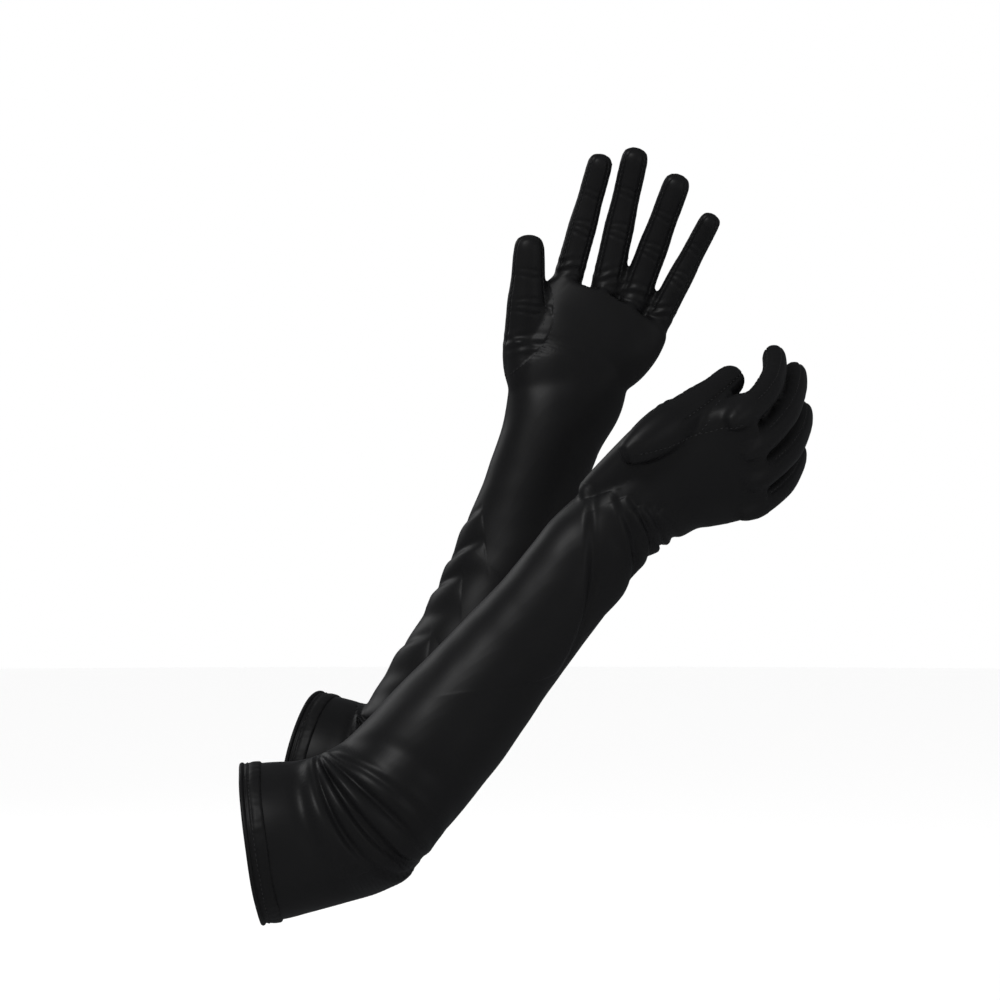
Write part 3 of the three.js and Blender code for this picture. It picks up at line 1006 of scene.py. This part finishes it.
class GLOVES_OT_hems(bpy.types.Operator):
    """Make the turned hem of each arm opening, with its rolled edge and its puckers"""

    bl_idname = "gloves.hems"
    bl_label = "Hems"

    def execute(self, context):
        material = satin_material(
            "hem_satin", tuple(finish().satin), tuple(finish().lit), finish().gloss + 0.06
        )
        for name, (glove, _) in skins.items():
            made = placed(f"{name}_hem", self.band(glove), material)
            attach(made, "sleeves")
            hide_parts(f"{name}_cuff_hem")
        return {"FINISHED"}

    def band(self, glove):
        """A closed ring round the opening: a roll at its edge and a drawn-in stitch line."""
        roll = sizes().hem_roll / MM
        depth = sizes().hem_depth / MM
        stitched = sizes().topstitch / MM
        base = HEM_RADIUS
        outline = [(0.2 - roll * 0.6, base - 0.6)]
        for turn in range(20, 181, 32):
            angle = math.radians(turn)
            outline.append((
                roll - math.cos(angle) * roll - roll * 0.5,
                base + 0.4 + math.sin(angle) * roll,
            ))
        outline += [
            (stitched - 1.2, base + 1.15),
            (stitched - 0.45, base + 0.8),
            (stitched + 0.45, base + 0.8),
            (stitched + 1.2, base + 1.15),
            (depth - 2.0, base + 1.1),
            (depth - 0.7, base + 0.9),
            (depth, base - 0.1),
            (depth - 0.6, base - 1.3),
            (depth / 2, base - 1.6),
            (1.0, base - 1.6),
        ]
        count = len(outline)

        def place(step, side):
            x, radius = outline[round(step * count) % count]
            angle = side * 2 * math.pi
            around = Vector((math.cos(angle) * 9, math.sin(angle) * 9, x * 0.16))
            pucker = 0.34 * noise.noise(around * 2.1) + 0.55 * noise.noise(around * 0.35)
            wave = 0.5 * noise.noise(Vector((math.cos(angle), math.sin(angle), 4)) * 1.7)
            radius += pucker * min(x / 3, 1) if x > 0 else 0
            return glove.cuff.point(
                x + wave, radius * math.sin(angle), radius * math.cos(angle)
            )

        bm = wrapped_tube(count, sizes().hem_sides, place)
        layer = bm.verts.layers.float_vector.new("cloth")
        for vert in bm.verts:
            local = vert.co - glove.cuff.origin
            vert[layer] = (
                local.dot(glove.cuff.along), local.dot(glove.cuff.across),
                local.dot(glove.cuff.palm),
            )
        bmesh.ops.subdivide_edges(
            bm, edges=bm.edges, cuts=1, use_grid_fill=True, smooth=0.6
        )
        mesh = bpy.data.meshes.new("hem")
        bm.to_mesh(mesh)
        bm.free()
        mesh.shade_smooth()
        return mesh


def add_stitch(bm, centre, along, out, length, thick):
    """One stitch: a short plump length of thread lying on the cloth."""
    along = along.normalized()
    out = (out - along * out.dot(along)).normalized()
    basis = Matrix((along * length / 2, out.cross(along) * thick / 2, out * thick / 2))
    matrix = Matrix.Translation(centre) @ basis.transposed().to_4x4()
    bmesh.ops.create_icosphere(bm, subdivisions=1, radius=1, matrix=matrix)


def stitch_row(bm, places, outs, tree=None):
    """Stitches at an even pitch along a line of places, lifted to lie on the skin."""
    pitch = sizes().pitch
    travelled = pitch / 2
    for near, far, out in zip(places, places[1:], outs):
        step = far - near
        length = step.length
        if length < 1e-7:
            continue
        while travelled <= length:
            centre = near.lerp(far, travelled / length)
            if tree:
                found, normal, _, _ = tree.find_nearest(centre)
                centre, out = found, normal
            lift = sizes().thread * 0.2
            add_stitch(bm, centre + out * lift, step, out, sizes().stitch, sizes().thread)
            travelled += pitch
        travelled -= length


def thread_piece(name, bm, material):
    mesh = bpy.data.meshes.new(name)
    bmesh.ops.recalc_face_normals(bm, faces=bm.faces)
    bm.to_mesh(mesh)
    bm.free()
    mesh.shade_smooth()
    return placed(name, mesh, material)


class GLOVES_OT_stitching(bpy.types.Operator):
    """Sew the topstitch of the hems and the seams of the digits"""

    bl_idname = "gloves.stitching"
    bl_label = "Stitching"

    def execute(self, context):
        material = thread_material()
        for name, (glove, tree) in skins.items():
            self.hem_row(glove, material)
            for digit in glove.digits:
                self.digit_rows(glove, digit, tree, material)
            self.thumb_row(glove, tree, material)
        return {"FINISHED"}

    def hem_row(self, glove, material):
        bm = bmesh.new()
        places, outs = [], []
        hem = bpy.data.objects[f"{glove.name}_hem"].data
        tree = BVHTree.FromPolygons(
            [vertex.co for vertex in hem.vertices], [face.vertices for face in hem.polygons]
        )
        for i in range(361):
            angle = math.radians(i)
            radius = HEM_RADIUS + 1.2
            places.append(glove.cuff.point(
                sizes().topstitch / MM, radius * math.sin(angle), radius * math.cos(angle)
            ))
            outs.append(
                glove.cuff.across * math.sin(angle) + glove.cuff.palm * math.cos(angle)
            )
        stitch_row(bm, places, outs, tree)
        made = thread_piece(f"{glove.name}_hem_topstitch", bm, material)
        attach(made, "sleeves")

    def digit_rows(self, glove, digit, tree, material):
        bm = bmesh.new()
        first = 8 if digit.name == "thumb" else 6
        steps = 40
        for seam in seam_angles(digit.name):
            for turn in (seam, -seam):
                run = [
                    first + (digit.length - digit.tip * 0.6 - first) * i / steps
                    for i in range(steps + 1)
                ]
                places = [digit.place(along, turn) for along in run]
                stitch_row(bm, places, places, tree)
        made = thread_piece(f"{glove.name}_{digit.name}_seam_thread", bm, material)
        start, end = digit_blend(glove, digit)
        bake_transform(made)
        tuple(start)
        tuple(end)

    def thumb_row(self, glove, tree, material):
        bm = bmesh.new()
        for palm in (1, -1):
            places = []
            first, last = THUMB_SEAM
            for i in range(81):
                along = first + (last - first) * i / 80
                across = float(thumb_seam(along, palm))
                start = glove.hand.point(along, glove.side * (across + 0.8), palm * 60)
                found = tree.ray_cast(start, glove.hand.palm * -palm, 0.09)[0]
                if found:
                    places.append(found)
            stitch_row(bm, places, places, tree)
        made = thread_piece(f"{glove.name}_thumb_seam_thread_row", bm, material)
        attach(made, f"{glove.name}_hand")


class GLOVES_OT_stage(bpy.types.Operator):
    """Set the floor, the lights, the surroundings and the camera"""

    bl_idname = "gloves.stage"
    bl_label = "Stage"

    def execute(self, context):
        scene = context.scene
        scene.view_settings.view_transform = "Standard"
        self.surroundings(scene)
        self.floor()
        for name, light in LIGHTS.items():
            self.light(name, *light)
        self.camera(scene)
        return {"FINISHED"}

    def surroundings(self, scene):
        """Pale all round, and dimmer in what the satin reflects."""
        world = bpy.data.worlds.new("pale")
        scene.world = world
        world.use_nodes = True
        tree = world.node_tree
        tree.nodes.clear()
        rays = tree.nodes.new("ShaderNodeLightPath")
        seen = tree.nodes.new("ShaderNodeBackground")
        glossy = tree.nodes.new("ShaderNodeBackground")
        glossy.inputs["Color"].default_value = (0.93, 0.96, 1, 1)
        glossy.inputs["Strength"].default_value = 0.1
        seen.inputs["Color"].default_value = (1, 1, 1, 1)
        seen.inputs["Strength"].default_value = 1.0
        choose = tree.nodes.new("ShaderNodeMixShader")
        output = tree.nodes.new("ShaderNodeOutputWorld")
        tree.links.new(rays.outputs["Is Glossy Ray"], choose.inputs[0])
        tree.links.new(seen.outputs[0], choose.inputs[1])
        tree.links.new(glossy.outputs[0], choose.inputs[2])
        tree.links.new(choose.outputs[0], output.inputs[0])

    def floor(self):
        low, high = cad_box
        bm = bmesh.new()
        middle = (low + high) / 2
        matrix = Matrix.Translation((middle.x, middle.y, low.z - FLOOR_DROP))
        bmesh.ops.create_circle(bm, cap_ends=True, segments=96, radius=FLOOR_RADIUS, matrix=matrix)
        mesh = bpy.data.meshes.new("floor")
        bm.to_mesh(mesh)
        bm.free()
        shader = Shader("floor")
        surface = shader.add(
            "ShaderNodeBsdfPrincipled", None, Base_Color=(0.99, 0.99, 0.99, 1), Roughness=0.95,
            Specular_IOR_Level=0.1,
        )
        floor = placed("floor", mesh, shader.close(surface))
        floor.visible_glossy = False

    def light(self, name, position, target, size, power):
        data = bpy.data.lights.new(name, "AREA")
        data.size = size
        data.energy = power
        made = bpy.data.objects.new(name, data)
        bpy.context.scene.collection.objects.link(made)
        made.location = position
        aim = Vector(target) - Vector(position)
        made.rotation_euler = aim.to_track_quat("-Z", "Y").to_euler()

    def camera(self, scene):
        data = bpy.data.cameras.new("camera")
        data.sensor_width = 36
        data.lens = CAMERA_LENS
        made = bpy.data.objects.new("camera", data)
        scene.collection.objects.link(made)
        made.location = CAMERA_AT
        made.rotation_euler = (math.radians(90), 0, 0)
        scene.camera = made


class GLOVES_PT_panel(bpy.types.Panel):
    """The gloves' pieces and sizes"""

    bl_idname = "GLOVES_PT_panel"
    bl_label = "Opera Gloves"
    bl_space_type = "VIEW_3D"
    bl_region_type = "UI"
    bl_category = "Gloves"

    def draw(self, context):
        for operator in OPERATORS:
            self.layout.operator(operator.bl_idname)
        for group in (context.scene.glove_sizes, context.scene.glove_finish):
            column = self.layout.column()
            for name in group.__annotations__:
                column.prop(group, name)


OPERATORS = (GLOVES_OT_skins, GLOVES_OT_hems, GLOVES_OT_stitching, GLOVES_OT_stage)
CLASSES = (GloveSizes, GloveFinish, *OPERATORS, GLOVES_PT_panel)


def register():
    for item in CLASSES:
        bpy.utils.register_class(item)
    bpy.types.Scene.glove_sizes = PointerProperty(type=GloveSizes)
    bpy.types.Scene.glove_finish = PointerProperty(type=GloveFinish)


def unregister():
    del bpy.types.Scene.glove_finish
    del bpy.types.Scene.glove_sizes
    for item in reversed(CLASSES):
        bpy.utils.unregister_class(item)


def main():
    register()
    bpy.ops.gloves.skins()
    bpy.ops.gloves.hems()
    bpy.ops.gloves.stitching()
    bpy.ops.gloves.stage()


if __name__ == "__main__":
    main()
